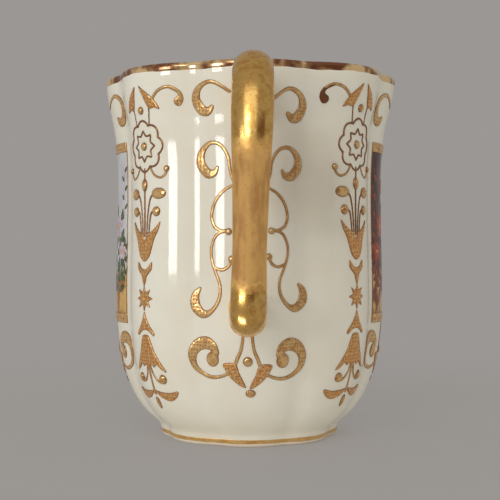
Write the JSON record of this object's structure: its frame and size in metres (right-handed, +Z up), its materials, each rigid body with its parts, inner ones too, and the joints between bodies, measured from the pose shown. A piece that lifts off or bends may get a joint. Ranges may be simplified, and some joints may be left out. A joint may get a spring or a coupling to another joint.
{
  "type": "espresso cup",
  "caption": "Lobed porcelain espresso cup with a flared rim, short foot ring, gilded loop handle, raised gilt scroll and pendant ornament, and framed painted side panels.",
  "frame": {"origin": "on the table, under the middle of the box round the cup and its handle", "axes": "+Z up, -Y towards the handle, +X to the right of someone who faces the handle"},
  "size_m": [0.0552, 0.0744, 0.0662],
  "materials": {
    "porcelain": "clear glaze over warm white porcelain",
    "gilding": "burnished and tooled gold fired on the glaze, rubbed in places",
    "enamel": "glossy overglaze enamel colours"
  },
  "bodies": {
    "root": {"arrow_far_left": "gilding", "arrow_far_right": "gilding", "arrow_near_left": "gilding", "arrow_near_right": "gilding", "bellflower_far_left": "gilding", "bellflower_far_right": "gilding", "bellflower_near_left": "gilding", "bellflower_near_right": "gilding", "cartouche_left": "gilding", "cartouche_right": "gilding", "cup_body": "porcelain", "fleur_bead_far": "gilding", "fleur_bead_handle": "gilding", "fleur_bead_left": "gilding", "fleur_bead_right": "gilding", "fleur_far_left": "gilding", "fleur_far_right": "gilding", "fleur_handle_left": "gilding", "fleur_handle_right": "gilding", "fleur_left_left": "gilding", "fleur_left_right": "gilding", "fleur_right_left": "gilding", "fleur_right_right": "gilding", "foot_line": "gilding", "handle": "gilding", "panel_frame_far": "gilding", "panel_frame_left": "gilding", "panel_frame_right": "gilding", "panel_picture_far": "enamel", "panel_picture_left": "enamel", "panel_picture_right": "enamel", "rim_band": "gilding", "rosette_star_far_left": "gilding", "rosette_star_far_right": "gilding", "rosette_star_near_left": "gilding", "rosette_star_near_right": "gilding", "spade_far_left": "gilding", "spade_far_right": "gilding", "spade_near_left": "gilding", "spade_near_right": "gilding", "spray_far_left": "gilding", "spray_far_right": "gilding", "spray_near_left": "gilding", "spray_near_right": "gilding", "star_far_left": "gilding", "star_far_right": "gilding", "star_near_left": "gilding", "star_near_right": "gilding", "top_curl_far_left": "gilding", "top_curl_far_right": "gilding", "top_curl_handle_left": "gilding", "top_curl_handle_right": "gilding", "top_curl_left_left": "gilding", "top_curl_left_right": "gilding", "top_curl_right_left": "gilding", "top_curl_right_right": "gilding"}
  },
  "joints": []
}
